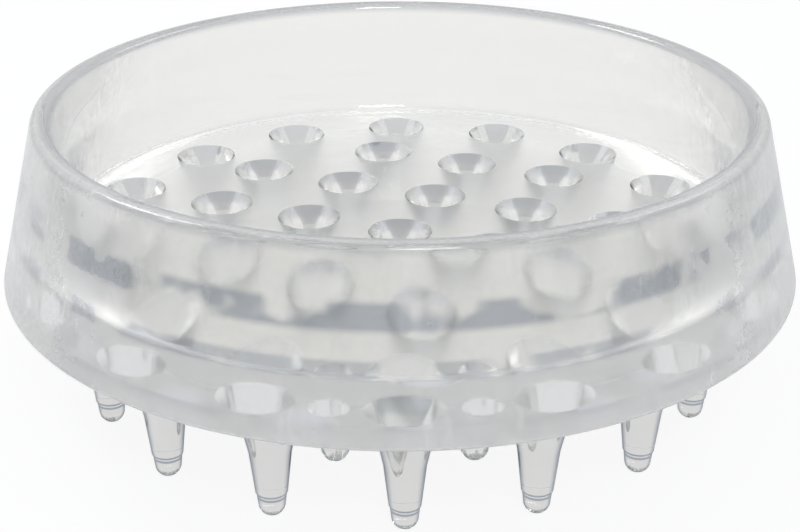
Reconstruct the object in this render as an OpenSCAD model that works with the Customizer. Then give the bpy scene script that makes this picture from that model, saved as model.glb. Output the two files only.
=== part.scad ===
// Spiked caster cup: a clear moulded dish that takes a furniture wheel or leg.
// Blunt spikes under its floor push down into carpet and hold it still.
// The spike tips stand on z = 0 and the front spike is on -Y.

/* [Cup] */
// Diameter of the well that takes the wheel
well_d = 47.6; // [40:0.1:70]
// Thickness of the wall at the rim
wall_t = 1.3; // [0.9:0.05:2.5]
// How far the foot stands out past the rim, all round
flare = 2.9; // [0.5:0.1:5]
// Height of the cup from its foot to its rim
cup_h = 11.7; // [8:0.1:24]
// Thickness of the floor
floor_t = 2.5; // [1.5:0.1:4]
// Radius of the fillet between the well's wall and the floor
well_fillet = 0.8; // [0.2:0.1:2]
// Height of the rounded lip that finishes the wall
lip_h = 1; // [0.7:0.1:3]
// Radius on the two top edges of the lip
lip_round = 0.5; // [0.1:0.05:0.6]
// Radius on the lower edge of the foot
foot_round = 0.4; // [0.1:0.05:1]

/* [Outer spikes] */
// Number of long spikes in the outer ring
outer_count = 16; // [8:1:18]
// Distance from the foot's edge in to the middle of the outer spikes
ring_inset = 6.2; // [5:0.1:9]
// Length of an outer spike below the foot
outer_l = 9; // [7:0.1:14]
// Diameter of an outer spike where its flared root ends
waist_d = 2.7; // [2.2:0.1:3.4]
// Length of the flared root
flare_l = 4.4; // [2:0.1:5]
// Height above the tip of the fine step round the spike
step_h = 1.7; // [1.1:0.1:2]
// Diameter just above the fine step
step_d = 2.06; // [1.9:0.02:2.2]
// Depth of the fine step
step_depth = 0.06; // [0.02:0.01:0.1]

/* [Inner spikes] */
// Length of an inner spike below the foot
inner_l = 7.2; // [4:0.1:9]
// Rows of inner spikes on each side of the middle
grid_rows = 2; // [1:1:2]
// Spacing of the square grid that the inner spikes stand on
grid_pitch = 7.2; // [6.2:0.1:10]
// Least gap between the roots of the inner and the outer spikes
root_gap = 0.8; // [0.2:0.1:2]

/* [All spikes] */
// Diameter of a spike at the floor
root_d = 4.6; // [3.6:0.1:5]
// Diameter of the rounded tip
tip_d = 1.75; // [1.4:0.05:1.85]

/* [Short studs] */
// Length of the two short studs beside the front spike
stud_l = 4.3; // [2:0.1:6]
// Diameter of a short stud at the floor
stud_root_d = 2.4; // [1.9:0.1:3.4]

/* [Hidden] */
$fn = 96;
arc_steps = 8;
clear_plastic = [0.86, 0.87, 0.86, 0.7];

well_r = well_d / 2;
rim_r = well_r + wall_t;
foot_r = rim_r + flare;
foot_z = max(outer_l, inner_l, stud_l);
floor_z = foot_z + floor_t;
rim_z = foot_z + cup_h;
lip_z = rim_z - lip_h;
flare_angle = atan(flare / cup_h);
lip_edge_r = min(lip_round, 0.45 * wall_t, 0.9 * lip_h);
fillet_r = min(well_fillet, cup_h - floor_t - lip_h);
floor_r = well_r - fillet_r;

ring_r = foot_r - ring_inset;
ring_step = 360 / outer_count;
inner_reach = ring_r - root_d - root_gap;

// Radius of the flared outside of the cup at a height
function outside_r(z) = rim_r + flare * (rim_z - z) / cup_h;

// Points of an arc, from one angle to another
function arc(centre, r, from, to) =
    [for (s = [0:arc_steps]) let (a = from + (to - from) * s / arc_steps) centre + r * [cos(a), sin(a)]];

// A place at a distance from the middle, at an angle counted from the front
function place(r, angle) = r * [sin(angle), -cos(angle)];

// A grid place, turned by one step of the outer ring and kept clear of that ring
function grid_place(i, j) = place(min(grid_pitch * norm([i, j]), inner_reach), atan2(j, i) - ring_step);

// The whole square grid but its middle and its far corners
inner_places = [
    for (i = [-grid_rows:grid_rows], j = [-grid_rows:grid_rows])
        if (norm([i, j]) > 0 && i * i + j * j <= grid_rows * grid_rows + 1) grid_place(i, j)
];

// The half section of a spike's rounded tip, at the end of a spike of length l
function tip_points(l) = arc([0, tip_d / 2 - l], tip_d / 2, 0, -90);

module spin(points) {
    rotate_extrude() polygon(points);
}

module hang(p) {
    translate([p[0], p[1], foot_z]) children();
}

// Rounded ring on top of the wall
module rim_lip() {
    outer_edge = [rim_r + lip_edge_r * (tan(flare_angle) - 1 / cos(flare_angle)), rim_z - lip_edge_r];
    inner_edge = [well_r + lip_edge_r, rim_z - lip_edge_r];
    color(clear_plastic)
        spin(concat(
            [[well_r, lip_z], [outside_r(lip_z), lip_z]],
            arc(outer_edge, lip_edge_r, flare_angle, 90),
            arc(inner_edge, lip_edge_r, 90, 180)
        ));
}

// Wall and foot: straight inside, flared outside, with a fillet down to the floor
module side_wall() {
    edge_z = foot_z + foot_round;
    edge = [outside_r(edge_z) - foot_round / cos(flare_angle), edge_z];
    color(clear_plastic)
        spin(concat(
            [[floor_r, foot_z]],
            arc(edge, foot_round, -90, flare_angle),
            [[outside_r(lip_z), lip_z], [well_r, lip_z]],
            arc([floor_r, floor_z + fillet_r], fillet_r, 0, -90)
        ));
}

// Flat floor inside the foot
module cup_floor() {
    color(clear_plastic)
        translate([0, 0, foot_z]) cylinder(h = floor_t, r = floor_r);
}

// Long spike of the outer ring: flared root, slim shank, fine step and rounded tip
module outer_spike(k) {
    step_z = step_h - outer_l;
    color(clear_plastic)
        hang(place(ring_r, (k - 1) * ring_step))
            spin(concat(
                [[0, 0], [root_d / 2, 0], [waist_d / 2, -flare_l]],
                [[step_d / 2, step_z], [step_d / 2 - step_depth, step_z]],
                tip_points(outer_l)
            ));
}

// Plain tapered spike under the middle of the cup
module plain_spike(p, l, d) {
    color(clear_plastic)
        hang(p) spin(concat([[0, 0], [d / 2, 0]], tip_points(l)));
}

module centre_spike() {
    plain_spike([0, 0], inner_l, root_d);
}

module inner_spike(k) {
    plain_spike(inner_places[k - 1], inner_l, root_d);
}

// Short stud between the front spike and its neighbour on one side
module short_stud(side) {
    plain_spike(place(ring_r, side * ring_step / 2), stud_l, stud_root_d);
}

rim_lip();
side_wall();
cup_floor();
centre_spike();
short_stud(-1);  // short_stud_left
short_stud(1);  // short_stud_right
for (k = [1:len(inner_places)])
    inner_spike(k);
for (k = [1:outer_count])
    outer_spike(k);
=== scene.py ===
import math

import bpy
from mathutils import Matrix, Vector


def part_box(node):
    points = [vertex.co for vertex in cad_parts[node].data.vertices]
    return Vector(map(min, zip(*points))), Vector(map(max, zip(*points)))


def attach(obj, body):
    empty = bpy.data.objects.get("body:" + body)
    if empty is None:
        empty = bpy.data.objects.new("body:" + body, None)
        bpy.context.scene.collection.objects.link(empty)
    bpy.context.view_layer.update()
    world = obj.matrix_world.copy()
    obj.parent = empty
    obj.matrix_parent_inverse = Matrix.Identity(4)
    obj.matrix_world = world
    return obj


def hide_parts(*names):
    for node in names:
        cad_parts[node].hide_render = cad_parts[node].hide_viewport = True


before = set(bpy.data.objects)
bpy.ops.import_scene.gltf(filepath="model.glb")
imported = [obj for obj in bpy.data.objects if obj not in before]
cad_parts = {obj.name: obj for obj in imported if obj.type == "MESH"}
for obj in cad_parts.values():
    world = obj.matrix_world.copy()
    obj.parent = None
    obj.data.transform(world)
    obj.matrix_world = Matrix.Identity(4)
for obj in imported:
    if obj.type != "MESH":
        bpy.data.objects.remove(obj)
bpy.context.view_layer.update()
scene = bpy.context.scene
scene.view_settings.view_transform = "Standard"

# Cup shell: the flared wall with its rounded lip, the foot and the flat floor of the well.
# It is one shot of clear, slightly milky plastic, bright in the well where the mould's core is polished,
# with draw lines and painted bluish shade bands in the wall and a matt skin on the underside of the floor.
foot_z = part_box("cup_floor")[0][2]
floor_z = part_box("cup_floor")[1][2]
rim_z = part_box("rim_lip")[1][2]
well_r = 0.0238
rim_r = 0.0251
foot_r = 0.027997
lip_round = 0.0005
floor_fillet = 0.0008
foot_round = 0.0004
cup_sides = 192


class Shade:
    """A shader socket that Python's own signs work on."""

    def __init__(self, tree, socket):
        self.tree = tree
        self.socket = socket

    def node(self, kind, settings=None, out=0, **links):
        """Adds a node of a kind, sets its settings, then its sockets, and wraps one of its outputs."""
        made = self.tree.nodes.new("ShaderNode" + kind)
        for key, value in (settings or {}).items():
            setattr(made, key, value)
        for key, value in links.items():
            numbered = key[0] == "i" and key[1:].isdigit()
            into = made.inputs[int(key[1:]) if numbered else key.replace("_", " ")]
            if isinstance(value, Shade):
                self.tree.links.new(value.socket, into)
            else:
                into.default_value = value
        return Shade(self.tree, made.outputs[out])

    def maths(self, operation, *values):
        return self.node("Math", {"operation": operation}, **{f"i{k}": v for k, v in enumerate(values)})

    def __add__(self, other):
        return self.maths("ADD", self, other)

    def __radd__(self, other):
        return self.maths("ADD", other, self)

    def __sub__(self, other):
        return self.maths("SUBTRACT", self, other)

    def __rsub__(self, other):
        return self.maths("SUBTRACT", other, self)

    def __mul__(self, other):
        return self.maths("MULTIPLY", self, other)

    def __rmul__(self, other):
        return self.maths("MULTIPLY", other, self)

    def feed(self, node, name):
        self.tree.links.new(self.socket, node.inputs[name])


def new_material(name):
    """A material, its surface shader and the place of a point on the piece."""
    material = bpy.data.materials.new(name)
    material.use_nodes = True
    tree = material.node_tree
    place = Shade(tree, tree.nodes.new("ShaderNodeTexCoord").outputs["Object"])
    return material, tree.nodes["Principled BSDF"], place


def ramp(value, start, end, kind="LINEAR", low=0.0):
    """Goes from low to 1 while a value goes from start to end."""
    settings = {"interpolation_type": kind}
    return value.node("MapRange", settings, Value=value, From_Min=start, From_Max=end, To_Min=low)


def ease(value, start, end, low=0.0):
    """A ramp with soft ends."""
    return ramp(value, start, end, "SMOOTHSTEP", low)


def blend(share, first, second):
    """A colour that goes from the first to the second."""
    colours = [c if isinstance(c, Shade) else (*c, 1) for c in (first, second)]
    return share.node("Mix", {"data_type": "RGBA"}, out=2, i0=share, i6=colours[0], i7=colours[1])


def noise(place, scale, detail):
    """Cloudy unevenness, finer as the scale grows."""
    return place.node("TexNoise", Vector=place, Scale=scale, Detail=detail)


clear_plastic, surface, place = new_material("clear_plastic")
surface.inputs["Transmission Weight"].default_value = 0.985
surface.inputs["IOR"].default_value = 1.45

# where a point is on the moulding: grid spikes end inside grid_edge, ring spikes start past ring_edge
grid_edge, ring_edge = 0.0185, 0.0190
flare_end, flare_fade = 0.0035, 0.0003
ring_flare_cut = 0.6
across = place.node("VectorMath", {"operation": "MULTIPLY"}, i0=place, i1=(1, 1, 0))
radius = place.node("VectorMath", {"operation": "LENGTH"}, out="Value", i0=across)
height = place.node("SeparateXYZ", out="Z", Vector=place)
inward = place.node("NewGeometry", out="Backfacing")
skin = 1 - inward
wall = ease(radius, well_r - 0.0005, well_r - 0.0002)
outside = ease(radius, well_r + 0.0005, well_r + 0.0010)
lip = ease(height, rim_z - 0.0008, rim_z - 0.0002)
underside = height.maths("COMPARE", height, foot_z, 0.00003)
foot = underside * ease(radius, well_r - 0.0030, well_r - 0.0018)
spike = ramp(height, foot_z - 0.00002, foot_z - 0.0001)
outer_spike = spike * ramp(radius, grid_edge, ring_edge)
flare_low = foot_z - flare_end
painted_root_shade_mask = (spike - ring_flare_cut * outer_spike) * ramp(height, flare_low, flare_low + flare_fade)

# polish: bright in the well, satin outside, matt under the floor, and fine waves and draw lines
well_polish, well_scuff = 0.015, 0.03
outside_satin, outside_scuff = 0.10, 0.08
underside_matt, foot_shine = 0.4, 0.8
grid_satin = 0.14
ripple_depth, line_depth = 0.28, 0.12
draw_squeeze = (1, 1, 0.12)
scuff = noise(place, scale=700.0, detail=4.0)
ripple = noise(place, scale=420.0, detail=3.0)
drawn = place.node("VectorMath", {"operation": "MULTIPLY"}, i0=place, i1=draw_squeeze)
draw_lines = noise(drawn, scale=1000.0, detail=3.0)
polish = well_polish + well_scuff * scuff + outside * (outside_satin + outside_scuff * scuff)
polish = polish + underside_matt * (underside - foot_shine * foot) + grid_satin * (spike - outer_spike)
polish.feed(surface, "Roughness")
relief = ripple_depth * ripple + line_depth * wall * draw_lines
place.node("Bump", Strength=0.6, Distance=0.0001, Height=relief).feed(surface, "Normal")


def near(level, reach, core):
    """1 within a core of a level of the moulding, falling to 0 at a reach above and below it."""
    off = height - level
    return ease(off.maths("ABSOLUTE", off), reach, core)


# colour: milky, greyer outside, with dark tool lines, and painted bluish shade in bands round the wall,
# along glancing edges and at the lip, where less light comes through
pale_milk = (0.995, 0.995, 0.970)
deep_milk = (0.980, 0.982, 0.965)
wall_grey = (0.82, 0.82, 0.81)
ring_grey = (0.69, 0.69, 0.685)
foot_grey = (0.74, 0.74, 0.73)
shade_and_tool_line_blue = (0.18, 0.21, 0.27)
painted_root_shade_blue = (0.47, 0.50, 0.56)
upper_band_z, upper_band_half, upper_band_depth = 0.0167, 0.0011, 0.95
lower_band_z, lower_band_half, lower_band_depth = 0.0137, 0.0007, 0.75
foot_band_z, foot_band_half, foot_band_depth = 0.0104, 0.0003, 0.3
upper_line_z, lower_line_z = 0.00172, 0.00144
line_half, line_core = 0.00013, 0.00005
patch_start, patch_full = 0.41, 0.53
shell_edge, shell_edge_power = 0.7, 5.0
spike_edge_start, spike_edge_full = 0.4, 0.75
lip_shade = 0.55
milk = blend(noise(place, scale=160.0, detail=3.0), pale_milk, deep_milk)
body = blend(outside, milk, wall_grey)
body = blend(outer_spike, body, ring_grey)
body = blend(foot, body, foot_grey)
patches = ease(noise(place, scale=230.0, detail=2.0), patch_start, patch_full)
# painted shade: bluish dark bands round the outer wall, broken into patches, stand for shade seen through
# the wall
painted_shade_bands = upper_band_depth * near(upper_band_z, upper_band_half, upper_band_half / 2)
painted_shade_bands = painted_shade_bands + lower_band_depth * near(lower_band_z, lower_band_half, lower_band_half / 2)
painted_shade_bands = painted_shade_bands + foot_band_depth * near(foot_band_z, foot_band_half, foot_band_half / 2)
tool_lines = near(upper_line_z, line_half, line_core) + near(lower_line_z, line_half, line_core)
glance = place.node("LayerWeight", out="Facing", Blend=0.5)
# painted shade: the colour darkens along glancing edges of the shell and the ring spikes, as dark outlines
edges = shell_edge * (1 - spike) * glance.maths("POWER", glance, shell_edge_power)
edges = edges + outer_spike * ease(glance, spike_edge_start, spike_edge_full)
# painted shade (bands, edges, lip) and the tool lines share one bluish dark colour
dark = skin * (edges + outside * painted_shade_bands * patches + lip_shade * lip + tool_lines)
tinted = blend(dark, body, shade_and_tool_line_blue)
# painted shade: the inside of the flared spike roots, less on the ring spikes, is tinted bluish dark
blend(inward * painted_root_shade_mask, tinted, painted_root_shade_blue).feed(surface, "Base Color")

# haze: the milky bloom on the outside, stronger where it is scuffed and towards its edges
bloom_white = (0.72, 0.72, 0.71, 1)
inside_bloom, outside_bloom = 0.03, 0.06
scuff_bloom, edge_bloom, streak_bloom = 0.2, 0.5, 0.06
streak_start, streak_full = 0.56, 0.72
streaks = ease(draw_lines, streak_start, streak_full)
grain = noise(place, scale=2600.0, detail=2.0)
bloom = outside_bloom + scuff_bloom * scuff * grain + edge_bloom * glance * glance + streak_bloom * streaks
bloom = skin * (1 - spike) * (inside_bloom + outside * bloom)
haze = place.node("BsdfDiffuse", Color=bloom_white)
clear = Shade(place.tree, surface.outputs["BSDF"])
hazed = place.node("MixShader", i0=bloom, i1=clear, i2=haze)
hazed.feed(place.tree.nodes["Material Output"], "Surface")

# the faces where one moulded feature runs on into the next are inside the plastic, so nothing shows there
joined_plastic, joined_surface, _ = new_material("joined_plastic")
joined_surface.inputs["Alpha"].default_value = 0.0

level_slack = 1e-6
side_slack = 2e-5


def pick(mesh_object, kind, wanted):
    """Selects the edges or faces of an object in edit mode whose points are the wanted ones."""
    bpy.ops.mesh.select_mode(type=kind)
    bpy.ops.mesh.select_all(action="DESELECT")
    bpy.ops.object.mode_set(mode="OBJECT")
    mesh = mesh_object.data
    points = [v.co for v in mesh.vertices]
    for part in {"EDGE": mesh.edges, "FACE": mesh.polygons}[kind]:
        part.select = wanted([points[k] for k in part.vertices])
    bpy.ops.object.mode_set(mode="EDIT")


def ring_at(r, z):
    """True for points that all lie on one level circle round the cup's axis."""
    return lambda points: all(
        abs(p.z - z) < level_slack and abs(p.xy.length - r) < side_slack for p in points
    )


bpy.ops.object.select_all(action="DESELECT")
bpy.ops.mesh.primitive_cylinder_add(
    vertices=cup_sides, radius=foot_r, depth=rim_z - foot_z, location=(0, 0, (rim_z + foot_z) / 2)
)
cup = bpy.context.object
cup.name = cup.data.name = "cup_shell"
bpy.ops.object.transform_apply(location=True, rotation=True, scale=True)
bpy.ops.object.mode_set(mode="EDIT")
pick(cup, "FACE", ring_at(foot_r, rim_z))
bpy.ops.transform.resize(value=(rim_r / foot_r, rim_r / foot_r, 1), center_override=(0, 0, rim_z))
bpy.ops.mesh.inset(thickness=rim_r - well_r)
bpy.ops.mesh.extrude_region_move(TRANSFORM_OT_translate={"value": (0, 0, floor_z - rim_z)})
flare_angle = math.atan((foot_r - rim_r) / (rim_z - foot_z))
for r, z, size, turn, steps in (
    (rim_r, rim_z, lip_round, math.pi / 2 - flare_angle, 6),
    (well_r, rim_z, lip_round, math.pi / 2, 6),
    (well_r, floor_z, floor_fillet, math.pi / 2, 8),
    (foot_r, foot_z, foot_round, math.pi / 2 + flare_angle, 6),
):
    pick(cup, "EDGE", ring_at(r, z))
    bpy.ops.mesh.bevel(offset=size * math.tan(turn / 2), segments=steps, affect="EDGES")
bpy.ops.object.mode_set(mode="OBJECT")
cup.data.materials.append(clear_plastic)
cup.data.materials.append(joined_plastic)
joined_slot = 1

# Long spikes of the outer ring: each has a flared root, a slim shank, a fine step and a rounded tip.
# They are the same clear plastic, moulded in one with the floor, and the step is the line where
# the mould's tip inserts meet its plate.
root_r = 0.0023
tip_r = 0.000875
bed = 0.001
spike_sides = 64
outer_l = 0.0090
waist_r = 0.00135
waist_l = 0.0044
step_r = 0.00103
step_l = 0.0073
step_depth = 0.00006


def dome(length, steps=7):
    """Rings of a rounded tip at the end of a spike, down to a point."""
    turns = [math.pi / 2 * k / steps for k in range(steps)]
    return [(tip_r * math.cos(a), tip_r - length - tip_r * math.sin(a)) for a in turns] + [(0, -length)]


def model_spike(rings):
    """A spike hanging from the origin, drawn out ring by ring from a disc that is bedded in the floor."""
    bpy.ops.object.select_all(action="DESELECT")
    start = rings[0][0]
    bpy.ops.mesh.primitive_circle_add(
        vertices=spike_sides, radius=start, fill_type="NGON", location=(0, 0, bed)
    )
    blank = bpy.context.object
    bpy.ops.object.transform_apply(location=True, rotation=True, scale=True)
    bpy.ops.object.mode_set(mode="EDIT")
    bpy.ops.mesh.select_all(action="SELECT")
    r_now, z_now = start, bed
    for r, z in rings:
        bpy.ops.mesh.extrude_region_move(TRANSFORM_OT_translate={"value": (0, 0, z - z_now)})
        if r > 0:
            bpy.ops.transform.resize(value=(r / r_now, r / r_now, 1), center_override=(0, 0, z))
            r_now = r
        z_now = z
    bpy.ops.mesh.merge(type="CENTER")
    bpy.ops.mesh.select_all(action="SELECT")
    bpy.ops.mesh.normals_make_consistent(inside=False)
    bpy.ops.object.mode_set(mode="OBJECT")
    return blank


def take(piece):
    """Selects one object alone, for the next operators to work on."""
    bpy.ops.object.select_all(action="DESELECT")
    piece.select_set(True)
    bpy.context.view_layer.objects.active = piece


blanks = []
places = {}


def set_spikes(blank, names):
    """A copy of a spike under the floor at the place of each CAD node, with its own mesh."""
    for name in names:
        low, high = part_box(name)
        middle = Vector(((low[0] + high[0]) / 2, (low[1] + high[1]) / 2))
        copy = blank.copy()
        copy.data = blank.data.copy()
        scene.collection.objects.link(copy)
        take(copy)
        copy.location = (*middle, foot_z)
        bpy.ops.object.transform_apply(location=True, rotation=True, scale=True)
        blanks.append(copy)
        places[name] = middle, (high[0] - low[0]) / 2
    bpy.data.objects.remove(blank)


outer_rings = [(root_r, 0), (waist_r, -waist_l), (step_r, -step_l), (step_r - step_depth, -step_l)]
set_spikes(model_spike(outer_rings + dome(outer_l)), [f"outer_spike_{k}" for k in range(1, 17)])

# Spikes under the middle of the floor: one at the centre and twenty on a square grid round it.
# They are moulded like the ring's but are a little shorter and have no step, and their flared roots
# show through the floor as rows of dark marks, deepened by painted bluish shade inside the roots.
inner_l = foot_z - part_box("centre_spike")[0][2]
inner_waist_r = 0.0014
inner_waist_l = 0.0032
inner_shank_r = 0.0012
inner_shank_l = 0.0052
inner_rings = [(root_r, 0), (inner_waist_r, -inner_waist_l), (inner_shank_r, -inner_shank_l)]
inner_names = ["centre_spike"] + [f"inner_spike_{k}" for k in range(1, 21)]
set_spikes(model_spike(inner_rings + dome(inner_l)), inner_names)

# Two short studs, one on each side of the front spike.
# They are plain tapers of the same plastic and end well above the carpet's backing.
stud_l = foot_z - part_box("short_stud_left")[0][2]
stud_r = 0.0012
set_spikes(model_spike([(stud_r, 0)] + dome(stud_l)), ["short_stud_left", "short_stud_right"])

# The moulding: shell and spikes run together into one skin, as the plastic does in the mould.
# The skin is then parted again at the underside of the floor, so that each feature is a closed piece
# of its own with no film of air between it and the floor.
smooth_angle = math.radians(30)
bpy.ops.object.select_all(action="DESELECT")
for blank in blanks:
    blank.select_set(True)
bpy.context.view_layer.objects.active = blanks[0]
bpy.ops.object.join()
all_spikes = bpy.context.object
run = cup.modifiers.new("run_together", "BOOLEAN")
run.object = all_spikes
run.operation = "UNION"
run.solver = "EXACT"
take(cup)
bpy.ops.object.modifier_apply(modifier="run_together")
bpy.data.objects.remove(all_spikes)


def part_off(name):
    """Parts one spike from the shell as its own object."""
    middle, r = places[name]

    def of_spike(points):
        hangs = min(p.z for p in points) < foot_z - level_slack
        return hangs and all(
            p.z < foot_z + level_slack and (p.xy - middle).length < r + side_slack for p in points
        )

    take(cup)
    bpy.ops.object.mode_set(mode="EDIT")
    pick(cup, "FACE", of_spike)
    bpy.ops.mesh.separate(type="SELECTED")
    bpy.ops.object.mode_set(mode="OBJECT")
    piece = [o for o in bpy.context.selected_objects if o is not cup][0]
    piece.name = piece.data.name = name + "_clear"
    return piece


def close(piece):
    """Closes a piece where it was parted, with faces that nothing shows on."""
    take(piece)
    before = len(piece.data.polygons)
    bpy.ops.object.mode_set(mode="EDIT")
    bpy.ops.mesh.select_mode(type="EDGE")
    bpy.ops.mesh.select_all(action="SELECT")
    bpy.ops.mesh.fill_holes(sides=0)
    bpy.ops.object.mode_set(mode="OBJECT")
    for face in list(piece.data.polygons)[before:]:
        face.material_index = joined_slot
    bpy.ops.object.mode_set(mode="EDIT")
    bpy.ops.mesh.select_all(action="SELECT")
    bpy.ops.mesh.normals_make_consistent(inside=False)
    bpy.ops.object.mode_set(mode="OBJECT")
    bpy.ops.object.shade_smooth_by_angle(angle=smooth_angle)


for name in places:
    piece = part_off(name)
    close(piece)
    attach(piece, "root")
    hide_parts(name)
close(cup)
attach(cup, "root")
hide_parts("rim_lip", "side_wall", "cup_floor")

# Studio paper: a plain white sheet under the cup, which shows white to the camera and keeps a soft shadow.
# Through the plastic it glows with painted light, full white at a low angle and half white from straight
# above, which paints shade under the cup, and nearly white after a reflection; from below it is clear, so
# that the spikes show.
paper_size = 3.0
paper_colour = (0.74, 0.77, 0.82, 1)
seen_white = 0.92
steep_white = 0.50
painted_gleam_white = 0.8
painted_light_start, painted_light_full = 0.08, 0.5
bpy.ops.object.select_all(action="DESELECT")
bpy.ops.mesh.primitive_plane_add(size=paper_size, location=(0, 0, 0))
sheet = bpy.context.object
sheet.name = "studio_paper"
white_paper, paper, spot = new_material("white_paper")
paper.inputs["Base Color"].default_value = paper_colour
paper.inputs["Roughness"].default_value = 0.9
seen = spot.node("LightPath", out="Is Camera Ray")
through = spot.node("LightPath", out="Is Transmission Ray")
turned = spot.node("LightPath", out="Glossy Depth")
turned = turned.maths("MINIMUM", turned, 1)
white = spot.node("Emission", Color=(1, 1, 1, 1), Strength=1.0)
# painted light and shade: the paper's glow through the plastic depends on the angle it is seen at and on
# reflections
slant = spot.node("LayerWeight", out="Facing", Blend=0.5)
painted_light_by_slant = ease(slant, painted_light_start, painted_light_full, low=steep_white)
share = seen_white * seen + through * painted_light_by_slant.maths("MAXIMUM", painted_light_by_slant, painted_gleam_white * turned)
top = spot.node("MixShader", i0=share, i1=Shade(spot.tree, paper.outputs["BSDF"]), i2=white)
back = spot.node("NewGeometry", out="Backfacing")
both = spot.node("MixShader", i0=back, i1=top, i2=spot.node("BsdfTransparent"))
both.feed(spot.tree.nodes["Material Output"], "Surface")
sheet.data.materials.append(white_paper)

# Studio light: an even, slightly cool sky that is brighter overhead, and three soft lamps.
# The front lamp is the window that the cup faces, and the other two edge its rim from behind.
# Through the plastic the sky looks lighter, but never more than white.
sky_colour = (0.97, 0.985, 1)
horizon_level = 0.3
overhead_lift = 0.4
through_lift = 0.55
white_level = 1.0
lift_start, lift_full = 0.05, 0.7
lamp_colour = (1, 0.98, 0.94)
world = bpy.data.worlds.new("studio")
scene.world = world
world.use_nodes = True
toward = Shade(world.node_tree, world.node_tree.nodes.new("ShaderNodeTexCoord").outputs["Generated"])
overhead = ease(toward.node("SeparateXYZ", out="Z", Vector=toward), lift_start, lift_full)
passing = toward.node("LightPath", out="Is Transmission Ray")
level = horizon_level + overhead_lift * overhead + through_lift * passing
level = level.maths("MINIMUM", level, white_level)
sky = toward.node("VectorMath", {"operation": "SCALE"}, i0=sky_colour, Scale=level)
sky.feed(world.node_tree.nodes["Background"], "Color")


def soft_lamp(name, location, size, power):
    """A square lamp that looks at the cup."""
    bpy.ops.object.light_add(type="AREA", location=location)
    lamp = bpy.context.object
    lamp.name = name
    lamp.data.size = size
    lamp.data.energy = power
    lamp.data.color = lamp_colour
    lamp.rotation_euler = (-Vector(location)).to_track_quat("-Z", "Y").to_euler()


soft_lamp("lamp_left", (-0.14, 0.08, 0.2), size=0.08, power=0.25)
soft_lamp("lamp_front", (0.04, -0.30, 0.27), size=0.10, power=0.7)
soft_lamp("lamp_right", (0.15, 0.10, 0.2), size=0.10, power=0.10)

# Camera: close to the cup and a little above it, as the photograph was taken.
# Clear plastic needs many turns of a ray, and light bent on to the paper is left to the paper's own white.
camera_at = (-0.00152, -0.10622, 0.05685)
aim = Vector((0, 0, 0.00786))
ray_turns = 40
bpy.ops.object.camera_add(location=camera_at)
camera = bpy.context.object
camera.rotation_euler = (aim - camera.location).to_track_quat("-Z", "Y").to_euler()
camera.data.lens = 72.53
camera.data.clip_start = 0.002
scene.camera = camera
scene.cycles.max_bounces = ray_turns
scene.cycles.glossy_bounces = ray_turns
scene.cycles.transmission_bounces = ray_turns
scene.cycles.transparent_max_bounces = 32
scene.cycles.caustics_refractive = False
